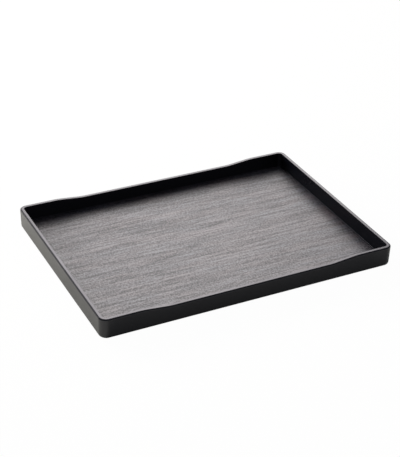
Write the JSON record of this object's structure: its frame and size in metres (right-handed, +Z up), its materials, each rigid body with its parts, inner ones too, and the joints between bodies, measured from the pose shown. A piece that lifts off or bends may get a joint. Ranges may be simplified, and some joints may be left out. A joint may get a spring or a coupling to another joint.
{
  "type": "tea tray",
  "caption": "Low rectangular tea tray: satin black moulded shell whose long rims dip between the corners, laid-in wood-grain floor and rubber feet.",
  "frame": {"origin": "middle of the tray's outline, on the table that the feet stand on", "axes": "+X along the long sides to the right, +Y from the front long side to the rear one, +Z up"},
  "size_m": [0.3, 0.216, 0.0213],
  "materials": {
    "moulded_shell": "satin black lacquered ABS, finely textured",
    "wood_grain_laminate": "satin charcoal wood-grain laminate with fine embossed pores",
    "adhesive": "translucent acrylic adhesive",
    "foot_rubber": "matt charcoal rubber"
  },
  "bodies": {
    "root": {"tray_body": "moulded_shell", "floor_panel": "wood_grain_laminate", "floor_film": "adhesive", "front_left_foot": "foot_rubber", "front_right_foot": "foot_rubber", "rear_left_foot": "foot_rubber", "rear_right_foot": "foot_rubber", "foot_discs": "adhesive"}
  },
  "joints": []
}
